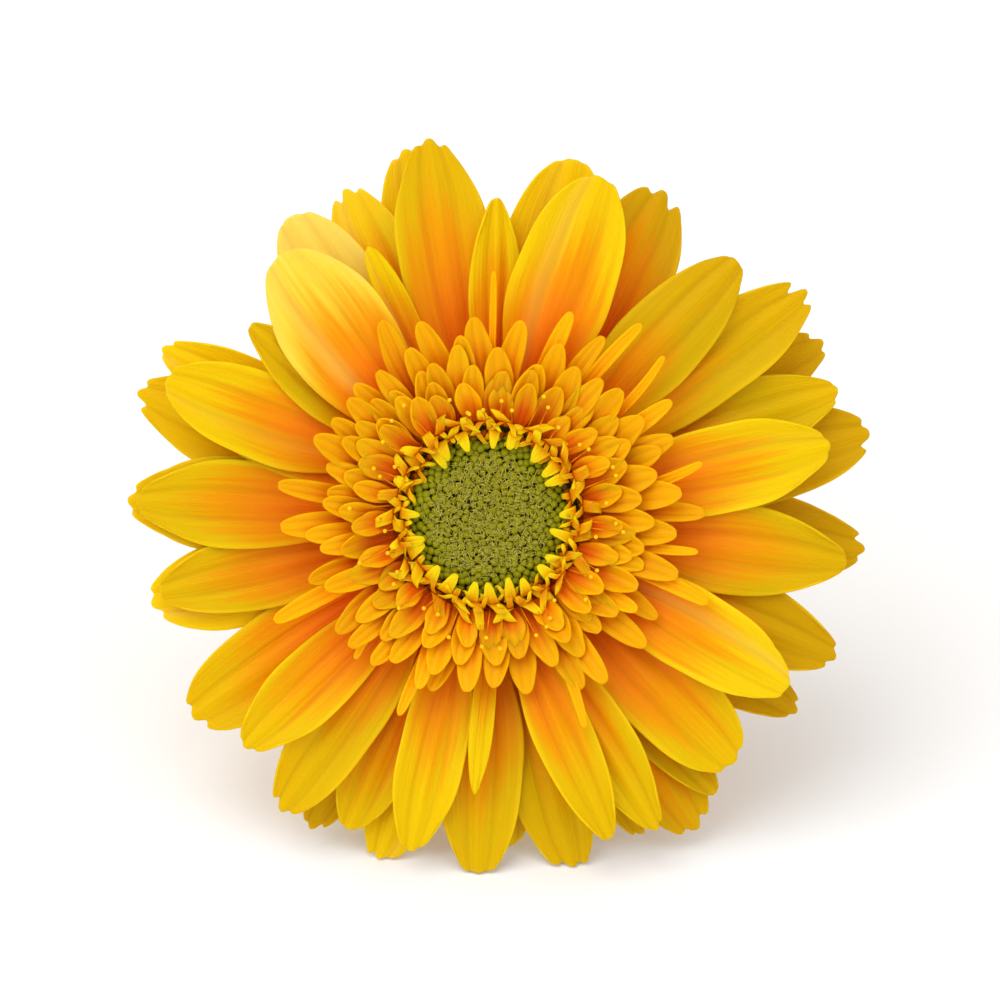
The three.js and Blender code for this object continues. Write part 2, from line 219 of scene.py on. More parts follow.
def ray_finish():
    """Satin petal: hot orange at the claw, gold further out, painted shade along its two folds, and a paler
    margin that is partly its own colour and partly a painted highlight on the lit edge.

    A ray marked for a painted highlight turns cream toward its tip and gets a light painted stripe along the
    ridge on one side."""
    finish = Finish("gerbera_ray")
    along, across = finish.uv()
    tone = finish.attribute("tone")
    warm = finish.attribute("warm")
    pale = finish.attribute("pale")
    edge = abs(across - 0.5) * 2
    fibre = finish.noise(finish.vector(across * 26, along * 2.2, tone * 37), 1.0, 3.0)
    broad = finish.noise(finish.vector(across * 5, along * 1.4, tone * 23 + 9), 1.0, 1.0)
    depth = along + edge ** 2 * 0.2 - warm * 0.5 + (fibre - 0.5) * 0.34 + (broad - 0.5) * 0.3
    # painted shade: the colour is darkened along the two folds
    fold_shade = abs(edge - FOLD_PLACE).step(0.13, 0.0) * along.step(0.1, 0.4)
    # paler margin: partly the ray's own yellow edge, partly a painted highlight on the lit edge
    margin = edge.step(0.8, 0.98) * along.step(0.15, 0.5)
    # painted highlights on marked rays: a light stripe along one ridge here, and cream toward the tip below
    ridge_highlight = abs(across - 0.7).step(0.15, 0.0) * along.step(0.12, 0.3) * pale
    # a ray's tone sets its gold from dark to light and lightens it all over: partly its own colour, partly
    # painted shade or painted light
    gold = finish.blend(tone, tint(194, 154, 0), tint(232, 192, 0))
    highlight_cream = finish.blend(pale.step(0.5, 0.9), tint(250, 206, 8), tint(252, 216, 104))
    colour = finish.blend(depth.step(-0.2, 0.2), tint(238, 100, 10), tint(248, 132, 12))
    colour = finish.blend(depth.step(0.1, 0.38), colour, tint(238, 152, 0))
    colour = finish.blend(depth.step(0.3, 0.62), colour, gold)
    colour = finish.blend(margin * 0.5, colour, tint(246, 202, 14))
    colour = finish.blend(depth.step(0.25, 0.95) * pale * 0.8, colour, highlight_cream)
    colour = finish.blend(ridge_highlight * 0.55, colour, tint(255, 200, 84))
    colour = finish.scaled(colour, tone * 0.16 + fibre * 0.16 - fold_shade * 0.1 + 0.82)
    ribs = finish.noise(finish.vector(across * 44, along * 1.2, tone * 11), 1.0, 2.0)
    return finish.done({
        "Base Color": colour,
        "Roughness": fibre * 0.14 + 0.38,
        "Specular IOR Level": PETAL_GLOSS,
        "Normal": finish.relief(ribs + fibre * 0.5, 0.00009),
        **GLOW,
    })


def floret_finish(name, base, tip, rim):
    """Short strap floret: base colour down the middle, rim colour at its margin and end, and painted shade
    along its two folds.
    """
    finish = Finish(name)
    along, across = finish.uv()
    tone = finish.attribute("tone")
    edge = abs(across - 0.5) * 2
    fibre = finish.noise(finish.vector(across * 9, along * 2, tone * 31), 1.0, 2.0)
    depth = along * 0.9 + edge ** 2 * 0.3 + (tone - 0.5) * 0.3 + (fibre - 0.5) * 0.3
    # painted shade: the colour is darker along the two folds
    out_of_fold_shade = abs(edge - FLORET_FOLD).step(0.0, 0.2)
    colour = finish.blend(depth.step(0.1, 0.95), base, tip)
    # paler margin: partly the floret's own yellow, partly a painted highlight on the lit edge
    colour = finish.blend(edge.step(0.2, 1.0) * along.step(0.1, 0.7) * 0.4, colour, rim)
    colour = finish.blend((along + (fibre - 0.5) * 0.3).step(0.35, 0.95) * 0.8, colour, rim)
    colour = finish.scaled(colour, out_of_fold_shade * 0.07 + fibre * 0.12 + tone * 0.16 + 0.78)
    return finish.done({
        "Base Color": colour,
        "Roughness": fibre * 0.12 + 0.4,
        "Specular IOR Level": PETAL_GLOSS,
        "Normal": finish.relief(fibre, 0.00006),
        **GLOW,
    })


def style_finish():
    """Styles are orange, and their knobs a clear waxy yellow."""
    finish = Finish("gerbera_style")
    colour = finish.blend(finish.attribute("tone"), tint(236, 132, 0), tint(250, 198, 20))
    return finish.done({"Base Color": colour, "Roughness": 0.45, "Specular IOR Level": 0.1, **GLOW})


def bud_finish():
    """Closed buds: olive, greener and fresher toward the rim, with painted shade low on each bud and on the
    bed between them.
    """
    finish = Finish("gerbera_bud")
    reach = finish.attribute("reach")
    tone = finish.attribute("tone")
    lift = finish.attribute("lift")
    grain = finish.noise(finish.place(), 1500.0, 3.0)
    colour = finish.blend(reach.step(5.0, 10.5), tint(136, 128, 8), tint(140, 144, 4))
    colour = finish.blend(tone * 0.5, colour, tint(162, 154, 30))
    # painted shade: dark olive low on each bud and on the bed, fading to the bud's colour toward its top
    colour = finish.blend(lift.step(0.05, 0.7), tint(92, 86, 2), colour)
    colour = finish.scaled(colour, grain * 0.5 + 0.78)
    return finish.done({
        "Base Color": colour,
        "Roughness": 0.6,
        "Specular IOR Level": 0.12,
        "Normal": finish.relief(grain, 0.00008),
        "Subsurface Weight": 0.1,
        "Subsurface Radius": (0.6, 0.8, 0.1),
        "Subsurface Scale": 0.0008,
    })


def down_finish(name, dark, light):
    """Fine hairs, each a shade between dark and light."""
    finish = Finish(name)
    grain = finish.noise(finish.place(), 700.0)
    colour = finish.blend(grain, dark, light)
    return finish.done({"Base Color": colour, "Roughness": 0.7, "Specular IOR Level": 0.12})


def bract_finish():
    """Green bracts, paler along the midrib, browned at the very tip."""
    finish = Finish("gerbera_bract")
    along, across = finish.uv()
    tone = finish.attribute("tone")
    edge = abs(across - 0.5) * 2
    fibre = finish.noise(finish.vector(across * 14, along * 2.4, tone * 29), 1.0, 3.0)
    colour = finish.blend(along.step(0.1, 0.9), tint(116, 146, 62), tint(84, 120, 42))
    colour = finish.blend(edge.step(0.22, 0.0) * 0.5, colour, tint(150, 172, 92))
    colour = finish.blend(along.step(0.9, 1.0) * 0.7, colour, tint(120, 84, 52))
    colour = finish.scaled(colour, fibre * 0.3 + tone * 0.1 + 0.78)
    return finish.done({
        "Base Color": colour,
        "Roughness": 0.55,
        "Normal": finish.relief(fibre, 0.00012),
        **GREEN_GLOW,
    })


def green_finish():
    """Fresh stem: finely streaked along its length, slightly glossy."""
    finish = Finish("gerbera_stem")
    spot = finish.place()
    x, y, z = finish.parts(spot)
    streak = finish.noise(finish.vector(x * 2600, y * 60, z * 2600), 1.0, 3.0)
    blotch = finish.noise(spot, 90.0, 3.0)
    colour = finish.blend(blotch, tint(112, 146, 58), tint(142, 168, 80))
    colour = finish.scaled(colour, streak * 0.35 + 0.78)
    return finish.done({
        "Base Color": colour,
        "Roughness": streak * 0.2 + 0.4,
        "Normal": finish.relief(streak, 0.00012),
        **GREEN_GLOW,
    })


def pith_finish():
    """Pale moist tissue at the cut."""
    finish = Finish("gerbera_pith")
    grain = finish.noise(finish.place(), 1800.0, 4.0)
    colour = finish.blend(grain, tint(186, 204, 132), tint(222, 230, 182))
    return finish.done({"Base Color": colour, "Roughness": 0.35, "Normal": finish.relief(grain, 0.0001)})


def surface_finish():
    finish = Finish("studio_surface")
    grain = finish.noise(finish.place(), 6.0, 2.0)
    colour = finish.blend(grain, tint(250, 250, 250), tint(253, 253, 253))
    return finish.done({"Base Color": colour, "Roughness": 0.9, "Specular IOR Level": 0.1})


# ---- making pieces -----------------------------------------------------------------------------------
LAYERS = ("tone", "warm", "pale", "reach", "lift")


def new_shape():
    bm = bmesh.new()
    bm.loops.layers.uv.new("UVMap")
    for name in LAYERS:
        bm.verts.layers.float.new(name)
    return bm


def note(bm, verts, **values):
    """Keeps what a finish reads at these vertices, with their distance from the head's axis."""
    for vert in verts:
        vert[bm.verts.layers.float["reach"]] = math.hypot(vert.co.x, vert.co.y)
        for name, value in values.items():
            vert[bm.verts.layers.float[name]] = value


def strap(bm, rows, columns, shape, **values):
    """A sheet: shape(along 0 to 1, across -1 to 1) gives each of its points."""
    made = bmesh.ops.create_grid(bm, x_segments=rows, y_segments=columns, size=0.5, calc_uvs=True)
    for vert in made["verts"]:
        vert.co = shape(vert.co.x + 0.5, 2 * vert.co.y)
    note(bm, made["verts"], **values)


def thread(bm, path, radii, sides, **values):
    """A round rod along a path, drawn out ring by ring and closed at both ends."""
    start = len(bm.verts)
    ring = bmesh.ops.create_circle(bm, cap_ends=True, segments=sides, radius=1.0)["verts"]
    edges = list({edge for vert in ring for edge in vert.link_edges})
    for index, (point, radius) in enumerate(zip(path, radii)):
        if index:
            made = bmesh.ops.extrude_edge_only(bm, edges=edges)["geom"]
            ring = [item for item in made if isinstance(item, bmesh.types.BMVert)]
            edges = [item for item in made
                     if isinstance(item, bmesh.types.BMEdge) and all(vert in ring for vert in item.verts)]
        ahead = path[min(index + 1, len(path) - 1)] - path[max(index - 1, 0)]
        turn = ahead.to_track_quat("Z", "Y").to_matrix()
        for place_in_ring, vert in enumerate(sorted_ring(ring)):
            angle = 2 * math.pi * place_in_ring / sides
            vert.co = point + turn @ Vector((math.cos(angle), math.sin(angle), 0)) * radius
    bmesh.ops.contextual_create(bm, geom=edges)
    bm.verts.ensure_lookup_table()
    note(bm, bm.verts[start:], **values)


def pattern_of(bm, name):
    """A small mesh kept for stamping."""
    pattern = bpy.data.meshes.new(name)
    bm.to_mesh(pattern)
    bm.free()
    return pattern


def standing(spot, outward, length):
    """The seat of a hair whose middle is at a spot and which points outward."""
    turn = outward.to_track_quat("Z", "Y").to_matrix().to_4x4()
    return Matrix.Translation(spot) @ turn @ Matrix.Diagonal((1, 1, length, 1))


def stamp(bm, pattern, seat):
    """Adds a copy of a pattern at a place, and gives its vertices."""
    start = len(bm.verts)
    bm.from_mesh(pattern)
    bm.verts.ensure_lookup_table()
    fresh = bm.verts[start:]
    for vert in fresh:
        vert.co = seat @ vert.co
    return fresh


def hair_pattern(root, tip):
    """A unit-long hair with a three-sided section, these radii at its ends and its middle at the origin."""
    bm = bmesh.new()
    bmesh.ops.create_cone(bm, cap_ends=True, segments=3, radius1=root, radius2=tip, depth=1.0)
    return pattern_of(bm, "hair_pattern")


def sorted_ring(verts):
    """The vertices of a ring in the order that its edges join them."""
    left = set(verts)
    row = [verts[0]]
    left.discard(verts[0])
    while left:
        row_end = row[-1]
        following = [e.other_vert(row_end) for e in row_end.link_edges if e.other_vert(row_end) in left]
        if not following:
            row.extend(left)
            break
        row.append(following[0])
        left.discard(following[0])
    return row


def make_piece(name, bm, finishes, replaced=(), thickness=0.0, levels=0, seated=True):
    """Turns a shape into an object on the part. Sheets get their thickness here."""
    if seated:
        for vert in bm.verts:
            vert.co = place(vert.co)
    if not thickness:
        bmesh.ops.recalc_face_normals(bm, faces=bm.faces)
    for face in bm.faces:
        face.smooth = True
    mesh = bpy.data.meshes.new(name)
    bm.to_mesh(mesh)
    bm.free()
    for finish in finishes:
        mesh.materials.append(finish)
    piece = bpy.data.objects.new(name, mesh)
    bpy.context.scene.collection.objects.link(piece)
    if thickness:
        solid = piece.modifiers.new("thickness", "SOLIDIFY")
        solid.thickness = thickness * MM
        solid.offset = 0.0
    if levels:
        rounding = piece.modifiers.new("rounding", "SUBSURF")
        rounding.levels = levels
        rounding.render_levels = levels
    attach(piece, "root")
    if replaced:
        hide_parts(*replaced)
    return piece


# ---- the rays ------------------------------------------------------------------------------------------
# direction of claw and of tip (degrees, counter-clockwise from the right), reach, width, layer,
# channel (how far the margins stand above the midrib), blunt (0 pointed, 1 and over rounded), tip (how
# far the end is bent forward), warm (how far orange runs along it), tooth (depth of the notches at the
# tip), side of the deeper notch
RAYS = {
    "ray_01": (11.5, 11.7, 46.8, 12.1, 5.0, 0.9, 0.35, 0.0, 0.55, 0.3, 1),
    "ray_02": (24.0, 19.8, 50.2, 11.4, 2.2, 0.5, 0.30, 0.0, 0.25, 0.6, -1),
    "ray_03": (30.0, 35.2, 52.5, 11.3, 3.2, 0.8, 0.70, 0.4, 0.20, 2.2, 1),
    "ray_04": (42.0, 45.7, 47.9, 11.6, 4.5, -0.5, 0.45, 0.0, 0.22, 0.3, 1),
    "ray_05": (58.0, 61.5, 50.0, 13.4, 1.0, 0.6, 0.80, 0.0, 0.70, 1.8, -1),
    "ray_06": (76.0, 71.5, 47.9, 14.0, 5.4, 0.7, 0.55, 0.0, 0.60, 0.4, 1),
    "ray_07": (79.0, 76.5, 49.6, 13.4, 2.0, 0.3, 0.75, 0.0, 0.20, 0.5, 1),
    "ray_08": (86.2, 88.4, 42.8, 7.2, 4.0, 0.45, 0.15, 0.0, 0.62, 0.2, 1),
    "ray_09": (100.0, 99.0, 51.4, 12.9, 3.0, 0.4, 0.45, 0.0, 0.62, 0.9, -1),
    "ray_10": (103.0, 102.6, 51.0, 12.2, 0.0, -0.3, 0.55, 0.0, 0.40, 0.9, 1),
    "ray_11": (111.0, 114.0, 39.6, 4.4, 4.0, -0.2, 0.60, 0.3, 0.72, 0.2, 1),
    "ray_12": (111.0, 113.5, 48.3, 10.8, 1.0, 0.5, 0.65, 0.0, 0.55, 1.6, 1),
    "ray_13": (123.0, 123.5, 48.5, 12.5, 2.0, -0.5, 1.10, 0.0, 0.15, 0.5, -1),
    "ray_14": (132.0, 128.6, 44.6, 14.8, 6.8, -1.0, 1.15, -1.6, 0.62, 0.0, 1),
    "ray_15": (143.0, 141.3, 40.9, 8.2, 4.9, 0.4, 0.10, 0.0, 0.20, 0.1, 1),
    "ray_16": (149.0, 157.2, 47.0, 12.0, 4.1, 0.5, 0.55, 0.0, 0.55, 0.5, -1),
    "ray_17": (163.0, 160.5, 50.4, 12.6, 0.0, 0.3, 0.45, 0.0, 0.25, 1.4, 1),
    "ray_18": (154.0, 152.6, 49.6, 9.4, 1.4, 0.4, 0.40, 0.4, 0.10, 1.0, -1),
    "ray_19": (163.0, 162.7, 37.8, 6.2, 3.3, -0.3, 0.25, 0.0, 0.75, 0.2, 1),
    "ray_20": (177.0, 177.5, 47.5, 12.0, 2.4, 0.5, 0.40, 0.0, 0.65, 0.3, 1),
    "ray_21": (178.0, 177.6, 48.8, 12.9, 0.8, 0.3, 0.50, 0.0, 0.20, 0.8, -1),
    "ray_22": (193.0, 193.0, 45.6, 10.6, 1.6, 0.5, 0.45, 0.0, 0.65, 0.3, 1),
    "ray_23": (195.0, 194.6, 47.2, 12.6, 0.0, -0.3, 0.65, 0.0, 0.20, 1.0, 1),
    "ray_24": (212.0, 214.2, 48.5, 12.6, 0.8, 0.4, 0.80, 0.0, 0.62, 1.4, 1),
    "ray_25": (223.0, 223.6, 45.0, 9.8, 5.0, 1.1, 0.50, 0.0, 0.62, 0.4, 1),
    "ray_26": (234.5, 234.8, 48.5, 10.2, 3.7, 0.9, 0.65, 0.0, 0.35, 1.2, -1),
    "ray_27": (240.0, 240.5, 48.8, 9.6, 0.0, 0.3, 0.50, 0.0, 0.45, 1.0, 1),
    "ray_28": (242.0, 246.0, 46.4, 10.6, 2.0, 0.5, 0.45, 0.0, 0.75, 0.5, 1),
    "ray_29": (254.0, 257.0, 46.1, 9.2, 4.5, 1.0, 0.45, 0.0, 0.40, 0.3, 1),
    "ray_30": (253.5, 252.6, 49.6, 10.4, 1.0, 0.3, 0.50, 0.0, 0.30, 1.4, -1),
    "ray_31": (270.0, 268.3, 49.0, 11.6, 3.0, 0.4, 0.40, 0.0, 0.48, 0.6, 1),
    "ray_32": (273.1, 267.3, 37.2, 3.3, 5.8, -0.3, 0.25, 0.45, 0.36, 0.0, 1),
    "ray_33": (275.5, 274.0, 44.8, 9.2, 0.5, 0.2, 0.40, 0.0, 0.45, 0.4, 1),
    "ray_34": (283.0, 283.4, 49.7, 11.2, 2.0, 0.4, 0.60, 0.0, 0.30, 1.5, -1),
    "ray_35": (281.0, 290.8, 46.2, 8.0, 6.0, 0.8, 0.30, 0.0, 0.48, 0.3, 1),
    "ray_36": (289.0, 298.3, 47.8, 8.6, 4.8, 0.7, 0.30, 0.0, 0.50, 0.5, 1),
    "ray_37": (293.0, 295.8, 48.0, 8.6, 0.0, 0.3, 0.40, 0.0, 0.45, 1.0, 1),
    "ray_38": (303.0, 303.6, 51.0, 12.2, 1.0, 0.4, 0.75, 0.0, 0.78, 1.3, 1),
    "ray_39": (309.0, 309.2, 48.5, 8.8, 2.2, 0.5, 0.25, 0.0, 0.70, 0.4, -1),
    "ray_40": (315.0, 314.8, 46.9, 12.6, 3.8, 0.9, 0.80, 0.0, 0.72, 0.7, 1),
    "ray_41": (331.0, 330.3, 46.2, 11.4, 6.0, 0.4, 0.50, 0.0, 0.55, 0.2, 1),
    "ray_42": (328.0, 327.6, 49.5, 10.0, 1.0, 0.3, 0.45, 0.0, 0.40, 0.8, 1),
    "ray_43": (339.5, 338.0, 50.6, 11.6, 3.0, 0.4, 0.50, 0.0, 0.30, 1.0, -1),
    "ray_44": (349.5, 352.6, 48.6, 12.3, 4.2, 0.5, 0.30, 0.0, 0.60, 0.3, 1),
    "ray_45": (356.5, 355.0, 51.3, 12.6, 0.0, 0.3, 0.50, 0.0, 0.25, 1.4, 1),
    "ray_46": (12.0, 12.3, 52.9, 13.2, 1.1, 0.3, 0.65, 0.0, 0.20, 1.6, -1),
    "ray_47": (27.0, 27.5, 51.2, 10.8, 0.0, 0.3, 0.55, 0.0, 0.25, 1.0, 1),
}
# rays that get a painted highlight, cream toward the tip and a light stripe along one ridge, and how strong
HIGHLIGHTED_RAYS = {
    "ray_01": 0.1, "ray_06": 0.45, "ray_07": 0.2, "ray_10": 0.2, "ray_11": 0.3, "ray_12": 0.6,
    "ray_13": 0.9, "ray_14": 0.9, "ray_16": 0.15, "ray_18": 0.5, "ray_23": 0.5, "ray_30": 0.3,
    "ray_33": 0.4, "ray_41": 0.55,
}
# how light the gold of a ray is painted, 0 to 1: partly its own colour, partly painted shade on rays turned
# away from the light, and over 1 painted light for a slim one that stands up into the light
RAY_GOLD_AND_SHADE = {
    "ray_01": 0.95, "ray_02": 0.65, "ray_03": 0.55, "ray_04": 0.45, "ray_05": 0.3, "ray_06": 0.9,
    "ray_07": 0.8, "ray_08": 0.9, "ray_09": 0.65, "ray_10": 0.8, "ray_11": 1.1, "ray_12": 0.8,
    "ray_13": 0.9, "ray_14": 1.0, "ray_16": 0.9, "ray_17": 0.75, "ray_18": 0.85, "ray_20": 0.65,
    "ray_21": 0.85, "ray_22": 0.7, "ray_23": 0.9, "ray_24": 0.65, "ray_25": 0.8, "ray_26": 0.6,
    "ray_28": 0.8, "ray_29": 0.85, "ray_30": 0.8, "ray_31": 0.5, "ray_32": 1.2, "ray_33": 0.8,
    "ray_35": 0.8, "ray_36": 0.7, "ray_38": 0.4, "ray_40": 0.7, "ray_41": 0.95, "ray_42": 0.25,
    "ray_43": 0.3, "ray_44": 0.45, "ray_45": 0.25, "ray_46": 0.3,
}
COMMON_TONE = 0.45       # the gold of the other rays
RAY_THICK = 0.36
SLIM_RAY = 5.0           # a ray under this width needs fewer columns
RAY_SHOULDER = 0.62      # along a ray, where it is widest


def dish_height(radius, layer):
    """Height of one layer of the dish that the rays lie on."""
    out = radius - CLAW_RADIUS
    rim = clamp(out / (HEAD_RADIUS - CLAW_RADIUS))
    return (
        RAY_FLOOR + CUP * (1 - math.exp(-out / CUP_REACH))
        - RECURVE * smooth(0.68 * HEAD_RADIUS, 1.06 * HEAD_RADIUS, radius)
        + layer * mix(LAYER_BASE, LAYER_TIP, rim)
    )


def ray_shape(row, chance):
    """The part's own ray surface, with the two folds, the uneven margin and the notched tip of a real one."""
    start, end, reach, width, layer, channel, blunt, tip, _, tooth, side = row
    claw = polar(start, CLAW_RADIUS)
    run = polar(end, reach) - claw
    sideways = Vector((-run.y, run.x, 0)).normalized()
    fold_depth = chance.uniform(0.3, 0.55)
    wave = chance.uniform(0, 6.28)
    wave_size = chance.uniform(0.15, 0.4)
    twist = chance.uniform(-0.35, 0.35)
    slant = chance.uniform(-0.08, 0.08)
    bow = chance.uniform(-0.02, 0.02) * width

    corner = mix(0.125, 0.075, min(1, blunt)) + 0.45 * max(0, blunt - 1)

    def shape(along, across):
        wide = abs(across)
        rounded = 1 - corner * wide ** 2.6
        cut = tooth * (bump_at(across, 0.36 * side, 0.13) + 0.6 * bump_at(across, -0.3 * side, 0.12))
        cut += 0.1 * math.sin(across * 9 + wave) + 4 * slant * across
        rounded -= cut / run.length * smooth(0.8, 1.0, along)
        if along < RAY_SHOULDER:
            spread = mix(0.17, 1.0, math.sin(math.pi / 2 * along / RAY_SHOULDER) ** 1.4)
        else:
            spread = 1 - mix(0.56, 0.30, blunt) * ((along - RAY_SHOULDER) / (1 - RAY_SHOULDER)) ** 3
        half = 0.5 * width * spread * (1 + 0.025 * math.sin(along * 11 + wave))
        spot = claw + run * (along * rounded) + sideways * (across * half + bow * math.sin(math.pi * along))
        free = smooth(0.3, 0.7, along)
        folds = bump_at(across, FOLD_PLACE, 0.13) + bump_at(across, -FOLD_PLACE, 0.13)
        spot.z = (
            dish_height(math.hypot(spot.x, spot.y), layer)
            + channel * free * (across ** 2 - 0.3)
            + tip * smooth(RAY_SHOULDER, 1, along)
            - fold_depth * folds * smooth(0.12, 0.4, along) * (1 - 0.5 * smooth(0.8, 1, along))
            + 0.12 * math.cos(across * 16) * smooth(0.1, 0.3, along) * (1 - wide)
            + wave_size * math.sin(along * 13 + wave) * wide ** 3 * free
            + twist * across * free
        )
        return spot

    return shape


def make_rays(finish):
    chance = random.Random(7)
    for name, row in RAYS.items():
        bm = new_shape()
        columns = 8 if row[3] < SLIM_RAY else 22
        tone = RAY_GOLD_AND_SHADE.get(name, COMMON_TONE) + chance.uniform(-0.1, 0.1)
        # how strongly this ray gets its painted highlight
        pale = HIGHLIGHTED_RAYS.get(name, 0.0)
        strap(bm, 34, columns, ray_shape(row, chance), tone=tone, warm=row[8], pale=pale)
        make_piece("petal_" + name[4:], bm, [finish], [name], RAY_THICK, 1)


# ---- the short inner florets ---------------------------------------------------------------------------
# direction, reach and width of each floret, row by row from the outside in
FLORET_ROWS = {
    "outer": (1, [
        (88.5, 32.7, 0.8), (69.3, 29.5, 2.2), (59.9, 28.6, 2.4), (53.9, 32.8, 1.7), (37.1, 31.8, 1.2),
        (30.6, 29.0, 2.3), (23.2, 27.0, 3.3), (9.3, 29.5, 1.4), (2.3, 29.1, 2.6), (-11.9, 28.5, 1.3),
        (-18.9, 31.6, 2.0), (-29.0, 26.5, 2.6), (-40.5, 27.4, 3.2), (-55.4, 27.3, 3.0), (-61.7, 31.1, 1.3),
        (245.8, 29.2, 1.6), (205.0, 31.8, 2.3), (183.2, 27.9, 3.3), (172.3, 28.5, 2.5), (121.6, 29.8, 3.2),
        (106.5, 27.6, 3.2),
    ]),
    "third": (2, [
        (29.8, 24.6, 4.0), (8.4, 26.1, 3.8), (-5.9, 25.4, 3.5), (-17.0, 26.7, 3.3), (-61.7, 26.4, 3.2),
        (-76.0, 24.4, 3.5), (254.5, 24.6, 2.8), (245.8, 24.9, 2.2), (235.0, 25.2, 2.6), (224.9, 25.5, 2.4),
        (221.4, 26.1, 1.2), (214.5, 25.6, 3.0), (200.0, 25.5, 2.8), (187.5, 24.6, 2.8), (157.3, 25.5, 3.5),
        (150.0, 24.6, 2.8), (141.2, 24.4, 3.0), (134.2, 25.1, 2.8), (126.5, 24.4, 2.8), (114.4, 24.9, 3.0),
        (91.9, 26.7, 3.6), (82.9, 26.5, 3.0), (99.0, 24.4, 2.8), (64.5, 25.0, 3.2), (40.5, 24.6, 3.4),
        (20.0, 24.8, 3.4),
    ]),
    "second": (3, [
        (14.7, 23.3, 3.8), (-0.9, 22.3, 3.2), (-12.0, 21.4, 3.2), (-18.0, 22.0, 3.0), (-27.5, 22.2, 3.2),
        (-34.2, 23.6, 2.2), (-40.0, 21.8, 3.0), (-48.0, 21.6, 3.0), (-55.2, 22.6, 3.5), (-67.8, 22.0, 3.0),
        (-85.2, 23.0, 3.2), (262.4, 23.7, 3.0), (250.0, 22.4, 3.2), (238.9, 23.4, 2.8), (229.5, 21.8, 2.8),
        (219.1, 22.5, 2.8), (206.5, 23.8, 2.8), (191.5, 22.9, 2.6), (178.0, 22.2, 2.8), (164.4, 22.7, 2.8),
        (171.0, 21.8, 2.8), (152.5, 22.0, 3.0), (145.0, 21.6, 3.0), (136.0, 22.0, 3.0), (128.0, 21.2, 3.0),
        (117.7, 21.4, 3.0), (110.0, 21.8, 3.0), (103.4, 23.3, 3.0), (84.5, 22.6, 3.6), (72.5, 21.4, 3.5),
        (56.3, 23.2, 3.5), (51.1, 23.8, 3.0), (35.5, 21.8, 3.4), (25.0, 21.4, 3.4),
    ]),
}
INNER_COUNTS = ((20.0, 27, 3.2, 3.7), (18.0, 25, 3.0, 4.4))   # reach, how many, width and step
INNER_SEGMENTS = (12, 10)
ROW_SHIFT = 7            # degrees per millimetre of reach, so that rows don't line up
FLORET_THICK = 0.3
SLIM_FLORET = 2.3        # florets up to this width are paler
PALE_TONE = 1.4
FLORET_SHOULDER = 0.66   # along a floret, where it is widest
FLORET_FOLD = 0.36
FLORET_SEGMENTS = (14, 10)


def inner_height(radius, step):
    return dish_height(radius, TOP_LAYER) + step * INNER_STEP


def floret_shape(direction, reach, width, step, chance):
    """A short strap with a spoon-shaped end and two folds, rising away from its root."""
    lean = chance.uniform(-0.25, 0.25)
    lift = chance.uniform(0.3, 1.6)
    curl = chance.uniform(-0.9, 0.3)
    sway = chance.uniform(-3.0, 3.0)
    tilt = chance.uniform(-0.4, 0.4) * clamp(width / 3)
    cup = chance.uniform(-0.1, 0.45) * clamp(width / 3)
    notch = chance.uniform(0.0, 0.5) if width > 2 else 0.0
    taper = 0.45 * width / (reach - FLORET_ROOT)
    sideways = polar(direction + 90, 1.0)

    def shape(along, across):
        cut = notch / reach * bump_at(across, 0.1, 0.16) * smooth(0.8, 1, along)
        rounded = 1 - taper * abs(across) ** 2.6 - cut
        if along < FLORET_SHOULDER:
            spread = mix(0.5, 1.0, math.sin(math.pi / 2 * along / FLORET_SHOULDER))
        else:
            spread = 1 - 0.36 * ((along - FLORET_SHOULDER) / (1 - FLORET_SHOULDER)) ** 2.6
        radius = mix(FLORET_ROOT, reach, along * rounded)
        spot = polar(direction + sway * along ** 2 * (1 if width > 1.5 else 2), radius)
        spot += sideways * (across * 0.56 * width * spread)
        folds = bump_at(across, FLORET_FOLD, 0.17) + bump_at(across, -FLORET_FOLD, 0.17)
        spot.z = (
            inner_height(radius, step) + lean + lift * along ** 1.5 + curl * smooth(0.7, 1, along)
            + cup * (across ** 2 - 0.2) * smooth(0.1, 0.6, along)
            - 0.3 * folds * clamp(width / 3) * (1 - smooth(0.85, 1, along))
            + tilt * across * smooth(0.1, 0.8, along)
        )
        return spot

    return shape


def make_inner_florets(finish):
    chance = random.Random(19)
    for row, (step, florets) in FLORET_ROWS.items():
        bm = new_shape()
        for direction, reach, width in florets:
            tone = chance.random() if width > SLIM_FLORET else PALE_TONE
            strap(bm, *FLORET_SEGMENTS, floret_shape(direction, reach, width, step, chance), tone=tone)
        kept_row = "inner_row_" + row
        make_piece("inner_florets_" + row, bm, [finish], [kept_row], FLORET_THICK, 1)
    bm = new_shape()
    for reach, count, width, step in INNER_COUNTS:
        for k in range(count):
            direction = 360 * (k + chance.uniform(-0.2, 0.2)) / count + reach * ROW_SHIFT
            longer = reach + chance.uniform(-0.9, 0.9)
            wider = width * chance.uniform(0.85, 1.1)
            shape = floret_shape(direction, longer, wider, step, chance)
            strap(bm, *INNER_SEGMENTS, shape, tone=chance.random())
    make_piece("inner_florets_inner", bm, [finish], ["inner_row_inner"], FLORET_THICK, 1)


# ---- opened florets round the disc ---------------------------------------------------------------------
LIP_LEVEL = 9.6
TUBE_ROOT = 6.0
OPEN_COUNT = 50
OPEN_RING = 11.35        # the inner of the two rings that the opened florets stand in
STAGGER = 1.2            # and how much further out the other one is
YOUNG_COUNT = 62         # tubes that haven't opened yet, next to the buds
YOUNG_RING = 11.1
